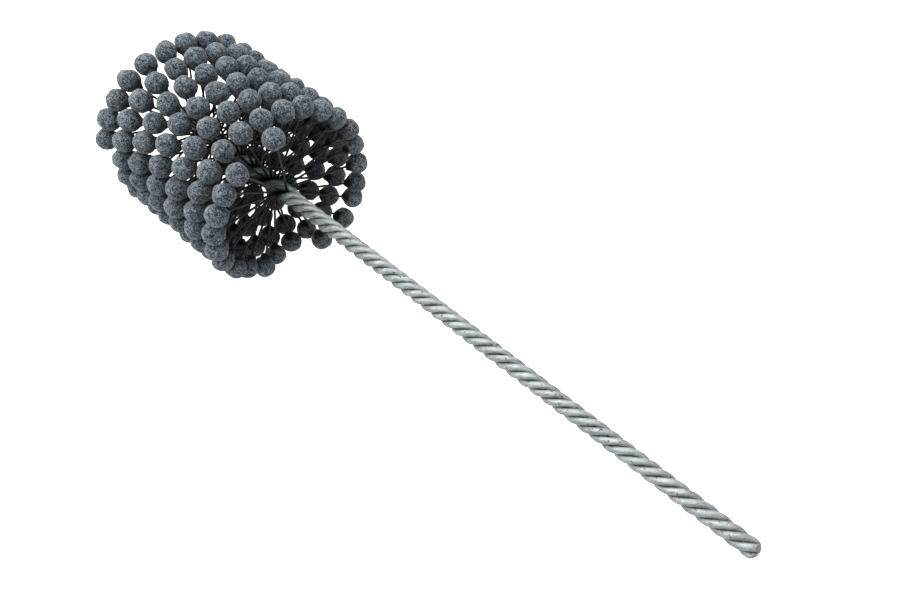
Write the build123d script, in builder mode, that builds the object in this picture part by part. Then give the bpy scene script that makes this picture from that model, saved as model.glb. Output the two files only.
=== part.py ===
from build123d import *
import math
import os
import random

# Flexible ball hone, lying on its side on its head.
# The origin is the centre of the shank's cut end. The twisted stem runs along X,
# +X points out of the shank, the head is at -X and +Z is up.
# Distances along the stem are counted from the cut end towards the head.

# Head, in millimetres
hone_diameter = 97.0  # over the globules while nothing presses on them
globule_diameter = 10.7
globule_gap = 0.24  # between neighbours of one row
row_gap = 3.4  # between one row and the next
row_turns = 3.23  # turns of a row round the stem, first globule to last
missing_count = 1  # filaments that are missing behind the first one
neck_length = 2.6  # resin drawn out along the filament, below the globule
neck_diameter = 2.7
neck_tip_diameter = 1.5
bore_past_centre = 1.8  # how far a filament reaches past its globule's centre
bond_gap = 0.03  # all round the filament inside its globule
axial_scatter = 0.65  # globules stand this much off their row, either way
radial_scatter = 0.5  # and up to this much nearer to the stem
scatter_seed = 11

# Stem, in millimetres
wire_diameter = 3.05
wire_gap = 0.04  # between wires that lie against each other
filament_diameter = 0.95
filament_gap = 0.032  # between neighbouring filaments in the stem
flex_gap = 0.15  # between a filament's clamped middle and its free arm
shank_length = 254.6  # from the cut end to the first filament
tip_length = 7.5  # from the last filament to the tip
spread_length = 8.0  # over which the wires open to take the filaments
spread_lead = 1.2  # bare wire, fully open, before the first filament
end_crown = 0.65  # the dome ground on the cut end has this much more radius than the stem
first_angle = 98.0  # degrees, from +Y towards +Z, of the first filament
group_count = 4  # the head is made in this many groups along the stem
spread_stations = 8  # points on a wire's centre line where it opens
settling_rounds = 60  # in which a calculation that repeats itself settles
halving_rounds = 40  # in which a search by halves closes in

# Sizes that follow
globule_radius = globule_diameter / 2
centre_radius = hone_diameter / 2 - globule_radius
filaments_per_turn = 2 * math.pi * centre_radius / (globule_diameter + globule_gap)
filament_step = 2 * math.pi / filaments_per_turn
filament_pitch = filament_diameter + filament_gap
stem_lay = filaments_per_turn * filament_pitch
row_lead = 2 * (globule_diameter + row_gap)
globule_pitch = row_lead / filaments_per_turn
place_count = round(row_turns * filaments_per_turn)
root_zone = (place_count - 1) * filament_pitch
globule_zone = (place_count - 1) * globule_pitch
first_globule = shank_length - (globule_zone - root_zone) / 2
stem_length = shank_length + root_zone + tip_length
turn_per_mm = 2 * math.pi / stem_lay


# How closely two wires pass when they wind on one radius, a phase angle apart
def wire_distance(radius, phase):
    lean = 0.0
    for _ in range(settling_rounds):
        lean = (lean + (radius * turn_per_mm) ** 2 * math.sin(phase - lean)) / 2
    across = 2 * radius * math.sin((phase - lean) / 2)
    return math.hypot(across, lean / turn_per_mm)


# How closely a wire passes a straight filament that lies half a pair's angle away
def filament_distance(radius, half_angle):
    lean = 0.0
    for _ in range(settling_rounds):
        lean = (lean + (radius * turn_per_mm) ** 2 * math.sin(2 * (half_angle + lean)) / 2) / 2
    return math.hypot(radius * math.cos(half_angle + lean), lean / turn_per_mm)


# The radius on which two wires, a phase angle apart, lie against each other
def packed_radius(phase):
    low = 0.0
    high = 4 * wire_diameter
    for _ in range(halving_rounds):
        middle = (low + high) / 2
        if wire_distance(middle, phase) < wire_diameter + wire_gap:
            low = middle
        else:
            high = middle
    return high


# In the bare shank the four wires stand a quarter turn apart. In the head they stand
# in two pairs that open just enough for the filaments to lie between them.
bare_half_angle = math.pi / 4
bare_radius = packed_radius(2 * bare_half_angle)
filament_room = (wire_diameter + filament_diameter) / 2 + wire_gap
open_half_angle = bare_half_angle / 2
tight_half_angle = bare_half_angle
for _ in range(halving_rounds):
    trial_angle = (open_half_angle + tight_half_angle) / 2
    if filament_distance(packed_radius(2 * trial_angle), trial_angle) > filament_room:
        open_half_angle = trial_angle
    else:
        tight_half_angle = trial_angle
open_radius = packed_radius(2 * open_half_angle)
root_radius = open_radius + wire_diameter / 2


# The angle about the stem of the gap between the pairs, at a distance along the stem
def stem_angle(distance):
    return math.radians(first_angle) + turn_per_mm * (distance - shank_length)


# The angle about the stem of a wire's centre, in one of the two pairs and on one side
def wire_angle(distance, pair, side, half_angle):
    return stem_angle(distance) + math.pi / 2 + pair * math.pi + side * half_angle


# A point on a wire's centre line while it opens, from 0, bare, to 1, open
def opening_point(opened, pair, side):
    distance = spread_start + opened * spread_length
    eased = opened * opened * (3 - 2 * opened)
    radius = bare_radius + (open_radius - bare_radius) * eased
    half_angle = bare_half_angle + (open_half_angle - bare_half_angle) * eased
    angle = wire_angle(distance, pair, side, half_angle)
    return Vector(-distance, radius * math.cos(angle), radius * math.sin(angle))


# A left-handed turn of wire from one distance along the stem to another.
# A helix along -X begins at -Z, which is -90 degrees, and is turned to its place.
def wound(start, end, radius, angle):
    helix = Helix(
        pitch=stem_lay,
        height=end - start,
        radius=radius,
        center=(-start, 0, 0),
        direction=(-1, 0, 0),
        lefthand=True,
        mode=Mode.PRIVATE,
    )
    return helix.rotate(Axis.X, math.degrees(angle) + 90)


os.makedirs("parts", exist_ok=True)

# Stem: four hard steel wires twisted together, left-handed. The tip is cut square and
# the end that goes into the drill's chuck is ground to a blunt dome, whose rim lies
# just outside the stem.
spread_end = shank_length - spread_lead
spread_start = spread_end - spread_length
wire_overrun = wire_diameter
dome_radius = bare_radius + wire_diameter / 2 + end_crown
dome_rim = dome_radius - end_crown / 2
dome_sweep = math.degrees(math.asin(dome_rim / dome_radius))
wire_number = 0
for pair in (0, 1):
    for side in (-1, 1):
        wire_number += 1
        bare_angle = wire_angle(-wire_overrun, pair, side, bare_half_angle)
        open_angle = wire_angle(spread_end, pair, side, open_half_angle)
        bare_turns = wound(-wire_overrun, spread_start, bare_radius, bare_angle)
        open_turns = wound(spread_end, stem_length + wire_overrun, open_radius, open_angle)
        stations = [opening_point(n / spread_stations, pair, side) for n in range(spread_stations + 1)]
        opening = Spline(*stations, tangents=(bare_turns % 1, open_turns % 0), mode=Mode.PRIVATE)
        with BuildPart() as wire:
            for run in (bare_turns, opening, open_turns):
                with BuildLine():
                    add(run)
                with BuildSketch(Plane(run ^ 0)):
                    Circle(wire_diameter / 2)
                sweep(is_frenet=True)
            split(bisect_by=Plane.YZ.offset(-stem_length), keep=Keep.TOP)
            with BuildSketch(Plane.XZ):
                with BuildLine():
                    dome = CenterArc((-dome_radius, 0), dome_radius, 0, dome_sweep)
                    Polyline(dome @ 1, (2 * wire_overrun, dome_rim), (2 * wire_overrun, 0), dome @ 0)
                make_face()
            revolve(axis=Axis.X, mode=Mode.SUBTRACT)
        wire.part.label = f"wire_{wire_number}"
        export_step(wire.part, f"parts/wire_{wire_number}.step")

# Globule: abrasive grit and resin moulded on the end of a filament, with the resin
# drawn out below it. It is made with its centre at the origin and its filament at -Z.
neck_foot = -globule_radius - neck_length
neck_top = -math.sqrt(globule_radius**2 - (neck_diameter / 2) ** 2)
bore_radius = filament_diameter / 2 + bond_gap
with BuildPart() as globule:
    with BuildSketch(Plane.XZ):
        with BuildLine():
            Line((0, neck_foot), (neck_tip_diameter / 2, neck_foot))
            Line((neck_tip_diameter / 2, neck_foot), (neck_diameter / 2, neck_top))
            ThreePointArc((neck_diameter / 2, neck_top), (globule_radius, 0), (0, globule_radius))
            Line((0, globule_radius), (0, neck_foot))
        make_face()
    revolve(axis=Axis.Z)
    with BuildSketch(Plane.XY.offset(neck_foot)):
        Circle(bore_radius)
    extrude(amount=bore_past_centre + bond_gap - neck_foot, mode=Mode.SUBTRACT)

# Filaments: nylon rods laid one by one between the two pairs of wires before they
# are twisted, so they follow the stem round. Each one's middle is held by the wires,
# and its two free arms fan out to the globules. Start a holds one end of every
# filament and start b the other, so the globules wind round as two rows.
# The tool lacks the filament behind its first one, and its place is left empty.
random.seed(scatter_seed)
filled_places = [0, *range(1 + missing_count, place_count)]
for group in range(group_count):
    members = [place for place in filled_places if place * group_count // place_count == group]

    with BuildPart() as middles:
        for place in members:
            root = shank_length + place * filament_pitch
            outward = Vector(0, math.cos(stem_angle(root)), math.sin(stem_angle(root)))
            with BuildSketch(Plane(origin=Vector(-root, 0, 0) - outward * root_radius, z_dir=outward)):
                Circle(filament_diameter / 2)
            extrude(amount=2 * root_radius)
    middles.part.label = f"filament_middles_{group + 1}"
    export_step(middles.part, f"parts/filament_middles_{group + 1}.step")

    for start, half_turn in (("a", 0.0), ("b", math.pi)):
        globule_places = []
        with BuildPart() as arms:
            for place in members:
                root = shank_length + place * filament_pitch
                angle = stem_angle(root) + half_turn
                outward = Vector(0, math.cos(angle), math.sin(angle))
                reach = centre_radius - random.uniform(0, radial_scatter)
                along = first_globule + place * globule_pitch
                along += random.uniform(-axial_scatter, axial_scatter)
                foot = Vector(-root, 0, 0) + outward * (root_radius + flex_gap)
                centre = Vector(-along, 0, 0) + outward * reach
                arm_plane = Plane(origin=foot, z_dir=centre - foot)
                with BuildSketch(arm_plane):
                    Circle(filament_diameter / 2)
                extrude(amount=(centre - foot).length + bore_past_centre)
                globule_places.append(Location(Plane(origin=centre, z_dir=centre - foot)))
        arms.part.label = f"filament_arms_{start}_{group + 1}"
        export_step(arms.part, f"parts/filament_arms_{start}_{group + 1}.step")

        with BuildPart() as globules:
            with Locations(*globule_places):
                add(globule.part)
        globules.part.label = f"globules_{start}_{group + 1}"
        export_step(globules.part, f"parts/globules_{start}_{group + 1}.step")
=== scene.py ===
import bmesh
import bpy
import math
import random
from mathutils import Matrix, Vector, noise


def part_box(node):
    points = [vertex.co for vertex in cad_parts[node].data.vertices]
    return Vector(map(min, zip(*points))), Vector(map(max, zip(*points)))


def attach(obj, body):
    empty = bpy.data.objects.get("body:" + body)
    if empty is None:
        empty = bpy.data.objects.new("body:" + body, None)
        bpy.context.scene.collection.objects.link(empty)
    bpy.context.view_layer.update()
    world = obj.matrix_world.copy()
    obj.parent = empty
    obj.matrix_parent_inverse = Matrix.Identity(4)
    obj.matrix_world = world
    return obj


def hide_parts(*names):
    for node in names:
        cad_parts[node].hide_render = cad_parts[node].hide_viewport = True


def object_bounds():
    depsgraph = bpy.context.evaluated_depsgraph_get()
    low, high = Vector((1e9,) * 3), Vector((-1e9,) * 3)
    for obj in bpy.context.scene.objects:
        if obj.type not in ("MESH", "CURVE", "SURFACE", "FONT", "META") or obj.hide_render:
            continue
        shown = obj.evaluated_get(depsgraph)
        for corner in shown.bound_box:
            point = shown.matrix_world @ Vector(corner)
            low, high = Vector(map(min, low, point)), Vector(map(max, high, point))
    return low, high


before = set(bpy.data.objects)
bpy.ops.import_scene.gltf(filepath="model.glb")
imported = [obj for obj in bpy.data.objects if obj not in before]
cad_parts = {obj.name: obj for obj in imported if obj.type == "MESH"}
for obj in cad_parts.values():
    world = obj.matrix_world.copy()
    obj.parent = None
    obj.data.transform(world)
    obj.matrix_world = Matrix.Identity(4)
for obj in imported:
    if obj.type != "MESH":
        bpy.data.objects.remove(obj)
solid_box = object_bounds()

# Twisted stem. Four hard-drawn steel wires, zinc plated, are twisted left-handed round
# each other into one stem. Its chuck end is ground to a blunt dome, its tip is cut
# square, and inside the head the wires open into two pairs that hold the filaments.

# All lengths are in metres. A distance is counted down the stem, from its ground end.
hone_diameter = 0.097
globule_diameter = 0.0107
globule_gap = 0.00024
wire_diameter = 0.00305
filament_diameter = 0.00095
filament_gap = 0.000032
shank_length = 0.2546
spread_lead = 0.0012
spread_length = 0.008
bare_radius = 0.002423
open_radius = 0.002968
bare_half_angle = math.radians(45)
open_half_angle = math.radians(38.35)
first_angle = math.radians(98)
end_crown = 0.00065
wire_sides = 20
rings_per_turn = 28
wire_waviness = 0.00004
waves_per_metre = 420
pair_shift = 7
side_shift = 3
dome_step = 0.0004
dome_steps = 8
cap_rings = 4
shoulder_length = 0.0045
shoulder_taper = 0.06
tolerance = 1e-6
streak_width = 0.0003125
streak_length = 0.00625
mottle_size = 1 / 420  # 2.4 mm
ding_spacing = 1 / 620  # 1.6 mm
ding_weight = 1.5  # in the relief, where the streaks have 1
scuff_depth = 0.00008
film_start = -0.2492  # a place along X
film_full = -0.2536
film_raggedness = 0.006
film_cover = 0.94
zinc_grey = "#777B7D"
zinc_dull = "#485055"
zinc_bloom = "#919493"
grease_brown = "#3E362F"
ground_steel = "#6A645E"
film_teal = "#2C383C"
mixing = {"data_type": "RGBA"}
multiply_add = {"operation": "MULTIPLY_ADD"}


def linear(colour):
    """An sRGB hex colour as linear red, green, blue and alpha."""
    channels = [int(colour[at : at + 2], 16) / 255 for at in (1, 3, 5)]
    return [c / 12.92 if c <= 0.04045 else ((c + 0.055) / 1.055) ** 2.4 for c in channels] + [1]


def add_node(material, kind, settings=None, **links):
    """Adds a node, sets its properties, and feeds its sockets with values or other sockets.
    A socket is named with _ for each space, or by its number, as in _6."""
    node = material.node_tree.nodes.new(kind)
    for name, value in (settings or {}).items():
        setattr(node, name, value)
    for name, value in links.items():
        socket = node.inputs[int(name[1:])] if name[1:].isdigit() else node.inputs[name.replace("_", " ")]
        if isinstance(value, bpy.types.NodeSocket):
            material.node_tree.links.new(value, socket)
        else:
            socket.default_value = value
    return node


def start_material(name):
    """A new material, with its surface shader."""
    material = bpy.data.materials.new(name)
    material.use_nodes = True
    return material, material.node_tree.nodes["Principled BSDF"]


def add_piece(name, mesh_maker, material, body, slot, *replaced):
    """Makes an object of a bmesh, and hands it over in place of the solids that it stands for."""
    mesh = bpy.data.meshes.new(name)
    mesh_maker.to_mesh(mesh)
    mesh_maker.free()
    mesh.materials.append(material)
    mesh.shade_smooth()
    piece = bpy.data.objects.new(name, mesh)
    bpy.context.scene.collection.objects.link(piece)
    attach(piece, body)
    if replaced:
        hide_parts(*replaced)


centre_radius = (hone_diameter - globule_diameter) / 2
filaments_per_turn = 2 * math.pi * centre_radius / (globule_diameter + globule_gap)
stem_lay = filaments_per_turn * (filament_diameter + filament_gap)
turn_per_metre = 2 * math.pi / stem_lay
stem_length = -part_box("wire_1")[0].x
spread_start = shank_length - spread_lead - spread_length


def stem_angle(distance):
    """The angle about the stem, from +Y towards +Z, of the gap between the pairs of wires."""
    return first_angle + turn_per_metre * (distance - shank_length)


def on_stem(distance, radius, angle):
    """A point by its distance from the ground end, and its radius and angle about the stem."""
    return Vector((-distance, radius * math.cos(angle), radius * math.sin(angle)))


def wound_rod(start, end, radius, angle, thickness, sides):
    """A round rod as a bmesh, spun left-handed down the stem, with its lengthwise UV map."""
    rings = math.ceil(rings_per_turn * (end - start) / stem_lay)
    onward = on_stem(1, radius * turn_per_metre, angle + math.pi / 2)
    facing = onward.to_track_quat("Z", "Y").to_matrix().to_4x4()
    place = Matrix.Translation(on_stem(start, radius, angle))
    rod = bmesh.new()
    bmesh.ops.create_circle(rod, segments=sides, radius=thickness / 2, matrix=place @ facing)
    bmesh.ops.spin(
        rod,
        geom=rod.verts[:] + rod.edges[:],
        cent=(0, 0, 0),
        axis=(1, 0, 0),
        dvec=((start - end) / rings, 0, 0),
        angle=turn_per_metre * (end - start),
        steps=rings,
    )
    rod.verts.index_update()
    distance = rod.verts.layers.float.new("distance")
    for vert in rod.verts:
        vert[distance] = start + (vert.index // sides) * (end - start) / rings
    lengthwise = rod.loops.layers.uv.new("along_wire")
    for face in rod.faces:
        around = [loop.vert.index % sides for loop in face.loops]
        seam = max(around) - min(around) > 1
        for loop, side in zip(face.loops, around):
            turned = 1.0 if seam and side == 0 else side / sides
            loop[lengthwise].uv = (turned * math.pi * thickness, loop.vert[distance])
    return rod


def open_pair(wire, pair, side):
    """Moves a wire over into its pair where the stem opens, and gives it slight waves."""
    distance = wire.verts.layers.float["distance"]
    for vert in wire.verts:
        opened = min(max((vert[distance] - spread_start) / spread_length, 0), 1)
        opened = opened * opened * (3 - 2 * opened)
        turned = side * (open_half_angle - bare_half_angle) * opened
        angle = stem_angle(vert[distance]) + math.pi / 2 + pair * math.pi + side * bare_half_angle
        angle += turned
        radius = bare_radius + (open_radius - bare_radius) * opened
        vert.co = Matrix.Rotation(turned, 3, "X") @ vert.co
        vert.co += on_stem(0, radius - bare_radius, angle)
        core = on_stem(vert[distance], radius, angle)
        own_waves = Vector((pair * pair_shift, side * side_shift, 0))
        worn = (1 + noise.noise(vert.co * waves_per_metre + own_waves)) / 2
        vert.co += (core - vert.co).normalized() * wire_waviness * worn


def cut_square(wire, place, facing):
    """Cuts a wire off square at a place along X and closes it with one flat face."""
    bmesh.ops.bisect_plane(
        wire,
        geom=wire.verts[:] + wire.edges[:] + wire.faces[:],
        plane_co=(place, 0, 0),
        plane_no=(facing, 0, 0),
        clear_outer=True,
    )
    boundary = [edge for edge in wire.edges if edge.is_boundary]
    rim = [edge for edge in boundary if abs(edge.verts[0].co.x - place) < tolerance]
    return bmesh.ops.holes_fill(wire, edges=rim, sides=0)["faces"]


def finish_ends(wire):
    """Cuts a wire's ends square, then grinds the chuck end to a blunt dome with a soft shoulder."""
    cut_square(wire, -stem_length, -1)
    cap = cut_square(wire, 0, 1)
    for ring in range(cap_rings):
        bmesh.ops.inset_region(wire, faces=cap, thickness=wire_diameter / 2 / (cap_rings + 1))
    for step in range(1, dome_steps):
        bmesh.ops.bisect_plane(
            wire,
            geom=wire.verts[:] + wire.edges[:] + wire.faces[:],
            plane_co=(-step * dome_step, 0, 0),
            plane_no=(1, 0, 0),
        )
    ground = wire.verts.layers.float.new("ground")
    dome_radius = bare_radius + wire_diameter / 2 + end_crown
    dome_centre = Vector((-dome_radius, 0, 0))
    for vert in wire.verts:
        out = vert.co - dome_centre
        if out.x > 0 and out.length > dome_radius:
            vert.co = dome_centre + out * (dome_radius / out.length)
            vert[ground] = 1
        taper = 1 - shoulder_taper * max(0, 1 + vert.co.x / shoulder_length)
        vert.co = Vector((min(vert.co.x, solid_box[1].x), vert.co.y * taper, vert.co.z * taper))
    bmesh.ops.recalc_face_normals(wire, faces=wire.faces[:])
    for edge in wire.edges:
        edge.smooth = max(vert.co.x for vert in edge.verts) > -stem_length + tolerance


def zinc_plated_wire():
    """Zinc plate on drawn wire: pale blue-grey, with dull streaks from the die and brown dings.
    Inside the head, resin has crept over it in a dark film. The ground end is bare steel."""
    material, surface = start_material("zinc_plated_wire")
    along = add_node(material, "ShaderNodeUVMap", {"uv_map": "along_wire"}).outputs[0]
    streak_scale = (1 / streak_width, 1 / streak_length, 1)
    streak_map = add_node(material, "ShaderNodeMapping", Vector=along, Scale=streak_scale).outputs[0]
    streaks = add_node(material, "ShaderNodeTexNoise", Vector=streak_map, Scale=1.0, Detail=3).outputs[0]
    place = add_node(material, "ShaderNodeTexCoord").outputs["Object"]
    mottle = add_node(
        material, "ShaderNodeTexNoise", Vector=place, Scale=1 / mottle_size, Detail=4, Roughness=0.6
    ).outputs[0]
    dings = add_node(
        material, "ShaderNodeTexNoise", Vector=place, Scale=1 / ding_spacing, Detail=2
    ).outputs[0]
    dinged = add_node(
        material, "ShaderNodeMapRange", Value=dings, From_Min=0.62, From_Max=0.69, To_Max=0.75
    ).outputs[0]
    tone = add_node(material, "ShaderNodeMapRange", Value=mottle, From_Min=0.35, From_Max=0.7).outputs[0]
    colour = add_node(
        material, "ShaderNodeMix", mixing, _0=tone, _6=linear(zinc_grey), _7=linear(zinc_bloom)
    ).outputs[2]
    fine = add_node(
        material, "ShaderNodeMapRange", Value=streaks, From_Min=0.42, From_Max=0.75, To_Max=0.6
    ).outputs[0]
    colour = add_node(
        material, "ShaderNodeMix", mixing, _0=fine, _6=colour, _7=linear(zinc_dull)
    ).outputs[2]
    colour = add_node(
        material, "ShaderNodeMix", mixing, _0=dinged, _6=colour, _7=linear(grease_brown)
    ).outputs[2]
    axis = add_node(material, "ShaderNodeSeparateXYZ", Vector=place).outputs[0]
    wander = add_node(
        material, "ShaderNodeMath", multiply_add, _0=mottle, _1=film_raggedness, _2=axis
    ).outputs[0]
    film = add_node(
        material,
        "ShaderNodeMapRange",
        Value=wander,
        From_Min=film_start,
        From_Max=film_full,
        To_Max=film_cover,
    ).outputs[0]
    colour = add_node(
        material, "ShaderNodeMix", mixing, _0=film, _6=colour, _7=linear(film_teal)
    ).outputs[2]
    ground = add_node(material, "ShaderNodeAttribute", {"attribute_name": "ground"}).outputs["Fac"]
    dressed = add_node(
        material, "ShaderNodeMath", {"operation": "MULTIPLY"}, _0=ground, _1=mottle
    ).outputs[0]
    colour = add_node(
        material, "ShaderNodeMix", mixing, _0=dressed, _6=colour, _7=linear(ground_steel)
    ).outputs[2]
    rough = add_node(material, "ShaderNodeMapRange", Value=mottle, To_Min=0.5, To_Max=0.7).outputs[0]
    relief = add_node(material, "ShaderNodeMath", {"operation": "ADD"}, _0=streaks, _1=mottle).outputs[0]
    relief = add_node(
        material, "ShaderNodeMath", multiply_add, _0=dinged, _1=-ding_weight, _2=relief
    ).outputs[0]
    bump = add_node(
        material, "ShaderNodeBump", Height=relief, Distance=scuff_depth, Strength=0.5
    ).outputs[0]
    metal = add_node(material, "ShaderNodeMapRange", Value=film, To_Min=0.7, To_Max=0.1).outputs[0]
    made = {"Base Color": colour, "Roughness": rough, "Normal": bump, "Metallic": metal}
    for socket, output in made.items():
        material.node_tree.links.new(output, surface.inputs[socket])
    return material


zinc = zinc_plated_wire()
wire_number = 0
for pair in (0, 1):
    for side in (-1, 1):
        wire_number += 1
        wire_angle = stem_angle(-wire_diameter) + math.pi / 2 + pair * math.pi + side * bare_half_angle
        wire_end = stem_length + wire_diameter
        wire = wound_rod(-wire_diameter, wire_end, bare_radius, wire_angle, wire_diameter, wire_sides)
        open_pair(wire, pair, side)
        finish_ends(wire)
        add_piece(f"stem_wire_{wire_number}", wire, zinc, "stem", "stem_steel", f"wire_{wire_number}")

# Resin in the stem. While the globules are moulded, thin resin runs down the filaments
# and sets in the furrow between the two wires of each pair, so inside the head a pair
# looks like one smooth dark bar.
furrow_radius = 0.0032
furrow_thickness = 0.0019
furrow_sides = 12
furrow_taper = 0.006
furrow_unevenness = 0.22
furrow_lumps_per_metre = 260
furrow_lead = 0.004
resin_teal = "#2A3539"
resin_haze = "#65737A"
haze_size = 1 / 380  # 2.6 mm
haze_depth = 0.0002


def cured_resin():
    """Cured resin run thin: dark teal and glossy, hazed where it has dried uneven."""
    material, surface = start_material("cured_resin")
    place = add_node(material, "ShaderNodeTexCoord").outputs["Object"]
    haze = add_node(
        material, "ShaderNodeTexNoise", Vector=place, Scale=1 / haze_size, Detail=3
    ).outputs[0]
    hazed = add_node(material, "ShaderNodeMapRange", Value=haze, From_Min=0.4, From_Max=0.75).outputs[0]
    tint = add_node(
        material, "ShaderNodeMix", mixing, _0=hazed, _6=linear(resin_teal), _7=linear(resin_haze)
    ).outputs[2]
    rough = add_node(material, "ShaderNodeMapRange", Value=haze, To_Min=0.15, To_Max=0.5).outputs[0]
    bump = add_node(
        material, "ShaderNodeBump", Height=haze, Distance=haze_depth, Strength=0.5
    ).outputs[0]
    for socket, output in (("Base Color", tint), ("Roughness", rough), ("Normal", bump)):
        material.node_tree.links.new(output, surface.inputs[socket])
    surface.inputs["IOR"].default_value = 1.55
    return material


resin = cured_resin()
furrow_start = shank_length - furrow_lead
for pair in (0, 1):
    furrow_angle = stem_angle(furrow_start) + math.pi / 2 + pair * math.pi
    furrow = wound_rod(
        furrow_start, stem_length, furrow_radius, furrow_angle, furrow_thickness, furrow_sides
    )
    reached = furrow.verts.layers.float["distance"]
    for vert in furrow.verts:
        angle = stem_angle(vert[reached]) + math.pi / 2 + pair * math.pi
        core = on_stem(vert[reached], furrow_radius, angle)
        ends = min(vert[reached] - furrow_start, stem_length - vert[reached]) / furrow_taper
        uneven = 1 + furrow_unevenness * noise.noise(vert.co * furrow_lumps_per_metre)
        vert.co = core + (vert.co - core) * math.sqrt(min(max(ends, 0), 1)) * uneven
    bmesh.ops.remove_doubles(furrow, verts=furrow.verts[:], dist=tolerance)
    bmesh.ops.recalc_face_normals(furrow, faces=furrow.faces[:])
    add_piece(f"furrow_resin_{pair + 1}", furrow, resin, "stem", "nylon")

# Filaments. Black nylon rod is cut to length and laid across the stem before the wires
# are twisted, so each one comes out of the stem on both sides and runs straight out,
# apart from a slight set left by handling. Its middle stays between the wires.
nylon_black = "#08090B"
nylon_sheen = "#15171A"
resin_skin = 0.00005
run_spacing = 1 / 300  # 3.3 mm
filament_sides = 8
filament_segments = 6
filament_bow = 0.0009
filament_seed = 5

# The arms that the tool lies on have taken a set. Each is given by its row, its number in
# the row's first group, and how far its tip has moved down the stem and round the stem.
set_arms = (
    ("a", 9, -0.0012, 0),
    ("a", 10, 0.004, 0.0006),
    ("a", 11, 0.0041, 0.0011),
    ("a", 12, 0.0024, 0.0007),
    ("a", 13, 0.0003, 0.0017),
    ("b", 0, 0.0054, 0.0082),
    ("b", 1, 0.0009, 0.0016),
    ("b", 2, 0.0008, 0.0026),
)


def drawn_nylon():
    """Extruded nylon: near black and slightly glossy, duller where resin has run along it."""
    material, surface = start_material("drawn_nylon")
    place = add_node(material, "ShaderNodeTexCoord").outputs["Object"]
    runs = add_node(
        material, "ShaderNodeTexNoise", Vector=place, Scale=1 / run_spacing, Detail=3
    ).outputs[0]
    tint = add_node(
        material, "ShaderNodeMix", mixing, _0=runs, _6=linear(nylon_black), _7=linear(nylon_sheen)
    ).outputs[2]
    rough = add_node(material, "ShaderNodeMapRange", Value=runs, To_Min=0.2, To_Max=0.5).outputs[0]
    material.node_tree.links.new(tint, surface.inputs["Base Color"])
    material.node_tree.links.new(rough, surface.inputs["Roughness"])
    surface.inputs["IOR"].default_value = 1.53
    surface.inputs["Specular IOR Level"].default_value = 0.3
    return material


def solid_rods(node):
    """The two ends, from the stem outwards, of every rod in a node of the solids."""
    copy = bmesh.new()
    copy.from_mesh(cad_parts[node].data)
    bmesh.ops.remove_doubles(copy, verts=copy.verts[:], dist=tolerance)
    waiting = set(copy.verts)
    rods = []
    while waiting:
        island = [waiting.pop()]
        for vert in island:
            for edge in vert.link_edges:
                other = edge.other_vert(vert)
                if other in waiting:
                    waiting.remove(other)
                    island.append(other)
        points = [vert.co.copy() for vert in island]
        points.sort(key=lambda point: math.hypot(point.y, point.z))
        half = len(points) // 2
        root = sum(points[:half], Vector()) / half
        tip = sum(points[half:], Vector()) / (len(points) - half)
        rods.append((root, tip))
    copy.free()
    return sorted(rods, key=lambda rod: -rod[0].x)


def bent_filament(filaments, root, tip, chance):
    """Adds one nylon arm to a bmesh: a round end drawn out towards its globule in a shallow bow."""
    run = (tip - root) / filament_segments
    facing = run.to_track_quat("Z", "Y")
    sideways = facing @ Vector((chance.uniform(-1, 1), chance.uniform(-1, 1), 0)).normalized()
    bow = filament_bow * chance.random() ** 2
    made = bmesh.ops.create_circle(
        filaments,
        segments=filament_sides,
        radius=filament_diameter / 2 + resin_skin,
        cap_ends=True,
        matrix=Matrix.Translation(root) @ facing.to_matrix().to_4x4(),
    )
    ring = [edge for edge in filaments.edges if all(vert in made["verts"] for vert in edge.verts)]
    for step in range(1, filament_segments + 1):
        rise = math.sin(math.pi * step / filament_segments)
        rise -= math.sin(math.pi * (step - 1) / filament_segments)
        grown = bmesh.ops.extrude_edge_only(filaments, edges=ring)["geom"]
        ring_verts = [item for item in grown if isinstance(item, bmesh.types.BMVert)]
        ring = [
            item
            for item in grown
            if isinstance(item, bmesh.types.BMEdge) and all(vert in ring_verts for vert in item.verts)
        ]
        bmesh.ops.translate(filaments, verts=ring_verts, vec=run + sideways * bow * rise)
    bmesh.ops.contextual_create(filaments, geom=ring)


nylon = drawn_nylon()
chance = random.Random(filament_seed)
group_count = 4
arm_ends = {}
for group in range(1, group_count + 1):
    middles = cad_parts[f"filament_middles_{group}"].data
    middles.materials.clear()
    middles.materials.append(nylon)
    for start in "ab":
        arm_ends[start, group] = solid_rods(f"filament_arms_{start}_{group}")
for start, number, along, around in set_arms:
    root, tip = arm_ends[start, 1][number]
    tip = Matrix.Rotation(around / centre_radius, 3, "X") @ tip - Vector((along, 0, 0))
    arm_ends[start, 1][number] = (root, tip)
for (start, group), rods in arm_ends.items():
    filaments = bmesh.new()
    for root, tip in rods:
        bent_filament(filaments, root, tip, chance)
    bmesh.ops.recalc_face_normals(filaments, faces=filaments.faces[:])
    node = f"filament_arms_{start}_{group}"
    add_piece(f"nylon_{start}_{group}", filaments, nylon, f"row_{start}", "nylon", node)

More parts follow.
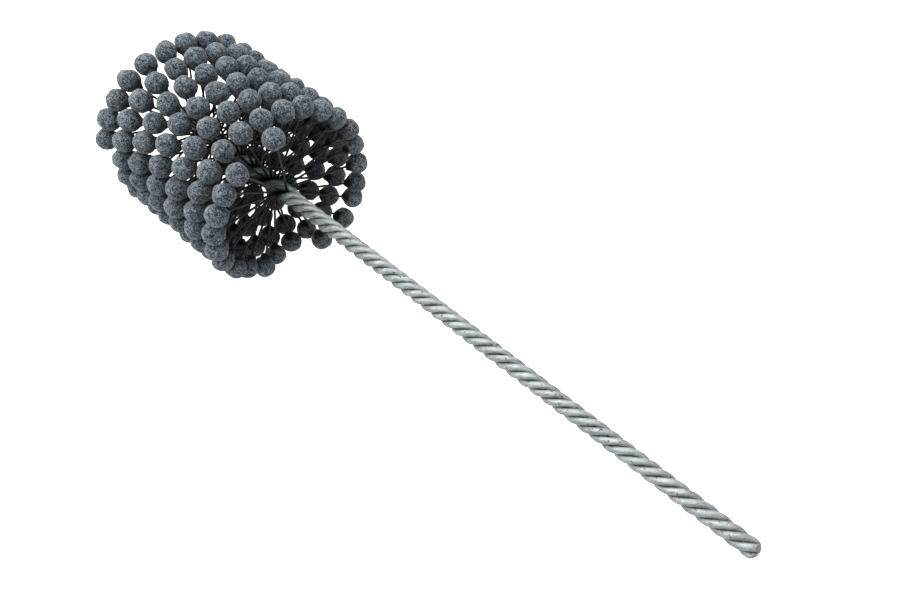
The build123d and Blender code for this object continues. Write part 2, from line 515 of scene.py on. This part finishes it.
# Globules. Silicon carbide grit in a dark resin is moulded on the end of each filament
# and cured, which leaves a ball with a few soft flats and a dull sandy skin, and a
# black ragged neck where the resin has crept along the nylon.
near_globule = 0.0104
far_globule = 0.0110
size_spread = 0.03
bore_past_centre = 0.0018
neck_length = 0.003
neck_half_angle = math.radians(33)
neck_taper = 1.6
neck_fullness = 0.72
neck_raggedness = 0.5
rags_per_radius = 5
lump_depth = 0.07
lumps_per_radius = 1.3
grain_depth = 0.022
grains_per_radius = 7
flat_count = 8
flat_height = 0.9
flat_bite = 0.85
grit_dark = "#1A1D21"
grit_slate = "#3C4247"
grit_pale = "#737A7F"
# Black of the resin neck. It also paints shade on the globules' side towards the stem.
neck_and_shade_black = "#070708"
neck_blackness = 2.5
# How dark the side towards the stem is made: partly richer resin, partly painted shade.
inner_resin_and_painted_shade = 0.36
speck_size = 0.0005
patch_size = 1 / 480  # 2.1 mm
grain_size = 1 / 1800  # 0.56 mm
grit_depth = 0.0003
patch_share = 0.45
own_tone_share = 0.05
speck_share = 0.32
dark_level = 0.675
slate_level = 0.855
pale_level = 1.175
noise_reach = 50
globule_seed = 9


def lumpy_globule(globules, centre, outward, diameter, chance):
    """Adds one globule to a bmesh: a ball with flats and grain, drawn into a ragged stalk below.
    Its side towards the stem is made darker: partly richer resin, partly painted shade inside the head."""
    neck_and_inner_shade = globules.verts.layers.float["neck_and_inner_shade"]
    tone = globules.verts.layers.float["tone"]
    own_tone = chance.random()
    made = bmesh.ops.create_icosphere(globules, subdivisions=3, radius=1)["verts"]
    where = Vector([chance.uniform(-noise_reach, noise_reach) for _ in "xyz"])
    flats = [Vector([chance.gauss(0, 1) for _ in "xyz"]).normalized() for _ in range(flat_count)]
    reach = []
    for vert in made:
        toward = vert.co.normalized()
        size = 1 + lump_depth * noise.noise(toward * lumps_per_radius + where)
        size += grain_depth * noise.noise(toward * grains_per_radius + where)
        for flat in flats:
            size -= flat_bite * max(0, size * toward.dot(flat) - flat_height)
        reach.append(size)
    mean = sum(reach) / len(reach)
    neck_edge = math.cos(neck_half_angle)
    for vert, size in zip(made, reach):
        toward = vert.co.normalized()
        inward = max(0, -toward.dot(outward))
        below = max(0, (inward - neck_edge) / (1 - neck_edge))
        ragged = neck_fullness + neck_raggedness * noise.noise(toward * rags_per_radius - where)
        # Black at the resin neck, and darker on the side towards the stem: partly resin, partly painted
        # shade.
        vert[neck_and_inner_shade] = min(1, neck_blackness * below + inner_resin_and_painted_shade * inward)
        vert[tone] = own_tone
        drawn_out = neck_length * ragged * below**neck_taper
        out = centre + toward * (diameter / 2 * size / mean + drawn_out)
        shrink = min(1, hone_diameter / 2 / math.hypot(out.y, out.z))
        out = Vector((out.x, out.y * shrink, out.z * shrink))
        vert.co = [min(max(value, low), high) for value, low, high in zip(out, *solid_box)]


def grit_in_resin():
    """Silicon carbide grit in resin: matte slate grey, salt-and-pepper where single grains break
    the skin, dusty at the rim. The grit, about 0.1 mm, is drawn coarser so that it shows."""
    material, surface = start_material("grit_in_resin")
    place = add_node(material, "ShaderNodeTexCoord").outputs["Object"]
    cells = add_node(material, "ShaderNodeTexVoronoi", Vector=place, Scale=1 / speck_size)
    speck = add_node(material, "ShaderNodeSeparateColor", Color=cells.outputs["Color"]).outputs[0]
    patches = add_node(
        material, "ShaderNodeTexNoise", Vector=place, Scale=1 / patch_size, Detail=3
    ).outputs[0]
    blend = add_node(
        material, "ShaderNodeTexNoise", Vector=place, Scale=1 / grain_size, Detail=3, Roughness=0.7
    ).outputs[0]
    tone = add_node(material, "ShaderNodeAttribute", {"attribute_name": "tone"}).outputs["Fac"]
    for layer, share in ((patches, patch_share), (tone, own_tone_share), (speck, speck_share)):
        blend = add_node(
            material, "ShaderNodeMath", multiply_add, _0=layer, _1=share, _2=blend
        ).outputs[0]
    pale = add_node(
        material, "ShaderNodeMapRange", Value=blend, From_Min=slate_level, From_Max=pale_level
    ).outputs[0]
    colour = add_node(
        material, "ShaderNodeMix", mixing, _0=pale, _6=linear(grit_slate), _7=linear(grit_pale)
    ).outputs[2]
    dark = add_node(
        material, "ShaderNodeMapRange", Value=blend, From_Min=slate_level, From_Max=dark_level
    ).outputs[0]
    colour = add_node(
        material, "ShaderNodeMix", mixing, _0=dark, _6=colour, _7=linear(grit_dark)
    ).outputs[2]
    # Black resin at the neck, plus painted shade mixed with resin on the side towards the stem.
    neck_and_inner_shade = add_node(material, "ShaderNodeAttribute", {"attribute_name": "neck_and_inner_shade"}).outputs["Fac"]
    colour = add_node(
        material, "ShaderNodeMix", mixing, _0=neck_and_inner_shade, _6=colour, _7=linear(neck_and_shade_black)
    ).outputs[2]
    height = add_node(
        material, "ShaderNodeMath", {"operation": "SUBTRACT"}, _0=blend, _1=cells.outputs["Distance"]
    ).outputs[0]
    bump = add_node(
        material, "ShaderNodeBump", Height=height, Distance=grit_depth, Strength=0.9
    ).outputs[0]
    material.node_tree.links.new(colour, surface.inputs["Base Color"])
    material.node_tree.links.new(bump, surface.inputs["Normal"])
    surface.inputs["Roughness"].default_value = 0.85
    surface.inputs["IOR"].default_value = 1.5
    surface.inputs["Specular IOR Level"].default_value = 0.25
    surface.inputs["Sheen Weight"].default_value = 0.2
    surface.inputs["Sheen Roughness"].default_value = 0.3
    return material


abrasive = grit_in_resin()
chance = random.Random(globule_seed)
head_near = max(tip.x for rods in arm_ends.values() for root, tip in rods)
head_far = min(tip.x for rods in arm_ends.values() for root, tip in rods)
for (start, group), rods in arm_ends.items():
    globules = bmesh.new()
    globules.verts.layers.float.new("neck_and_inner_shade")
    globules.verts.layers.float.new("tone")
    for root, tip in rods:
        outward = (tip - root).normalized()
        share = (head_near - tip.x) / (head_near - head_far)
        diameter = near_globule + (far_globule - near_globule) * share
        diameter *= 1 + chance.uniform(-size_spread, size_spread)
        lumpy_globule(globules, tip - outward * bore_past_centre, outward, diameter, chance)
    bmesh.ops.recalc_face_normals(globules, faces=globules.faces[:])
    node = f"globules_{start}_{group}"
    add_piece(f"abrasive_{start}_{group}", globules, abrasive, f"row_{start}", "abrasive", node)

# Table, light and camera. The tool lies on a white table that glows a little, as a light
# table does, under a large soft light. Its head points away from the camera, which looks
# down on it over the shank's left side.
table_size = 6.0
table_grey = "#959595"
table_glow = 0.8
table_tint = (1, 0.99, 0.98, 1)
room_glow = 0.92
white = (1, 1, 1)
warm_white = (1, 0.98, 0.97)
midway = (-0.15, 0, 0)
head_start = (-0.25, 0, 0)
camera_place = (0.00873, -0.16559, 0.30193)
camera_azimuth = math.radians(43.74)
camera_elevation = math.radians(51.63)
focal_length = 36.0
sensor_width = 36.0

table = bmesh.new()
bmesh.ops.create_grid(table, x_segments=1, y_segments=1, size=table_size / 2)
bmesh.ops.translate(table, verts=table.verts[:], vec=(0, 0, solid_box[0][2]))
table_mesh = bpy.data.meshes.new("table")
table.to_mesh(table_mesh)
table.free()
glowing, table_surface = start_material("light_table")
table_surface.inputs["Base Color"].default_value = linear(table_grey)
table_surface.inputs["Roughness"].default_value = 0.9
table_surface.inputs["Specular IOR Level"].default_value = 0.1
table_surface.inputs["Emission Color"].default_value = table_tint
table_surface.inputs["Emission Strength"].default_value = table_glow
table_mesh.materials.append(glowing)
table_piece = bpy.data.objects.new("table", table_mesh)
bpy.context.scene.collection.objects.link(table_piece)

world = bpy.data.worlds.new("studio")
world.use_nodes = True
world.node_tree.nodes["Background"].inputs["Color"].default_value = (*white, 1)
world.node_tree.nodes["Background"].inputs["Strength"].default_value = room_glow
bpy.context.scene.world = world


def softbox(name, place, target, size, power, colour):
    """A square area light at a place, turned to its target. It isn't seen itself."""
    light = bpy.data.lights.new(name, "AREA")
    light.size = size
    light.energy = power
    light.color = colour
    lamp = bpy.data.objects.new(name, light)
    lamp.visible_camera = False
    lamp.location = place
    lamp.rotation_euler = (Vector(target) - Vector(place)).to_track_quat("-Z", "Y").to_euler()
    bpy.context.scene.collection.objects.link(lamp)


softbox("key", place=(-0.77, -0.1, 0.95), target=head_start, size=1.8, power=34, colour=white)
softbox("front", place=(0.08, -0.64, 0.87), target=midway, size=0.35, power=3.5, colour=white)
softbox("rim", place=(-0.2, 1.1, 0.45), target=midway, size=0.5, power=1.5, colour=warm_white)

camera = bpy.data.cameras.new("camera")
camera.lens = focal_length
camera.sensor_width = sensor_width
viewer = bpy.data.objects.new("camera", camera)
viewer.location = camera_place
level = math.cos(camera_elevation)
aim = Vector(
    (-math.sin(camera_azimuth) * level, math.cos(camera_azimuth) * level, -math.sin(camera_elevation))
)
viewer.rotation_euler = aim.to_track_quat("-Z", "Y").to_euler()
bpy.context.scene.collection.objects.link(viewer)
bpy.context.scene.camera = viewer
bpy.context.scene.view_settings.view_transform = "Standard"
bpy.context.scene.view_settings.look = "High Contrast"

bpy.context.view_layer.update()
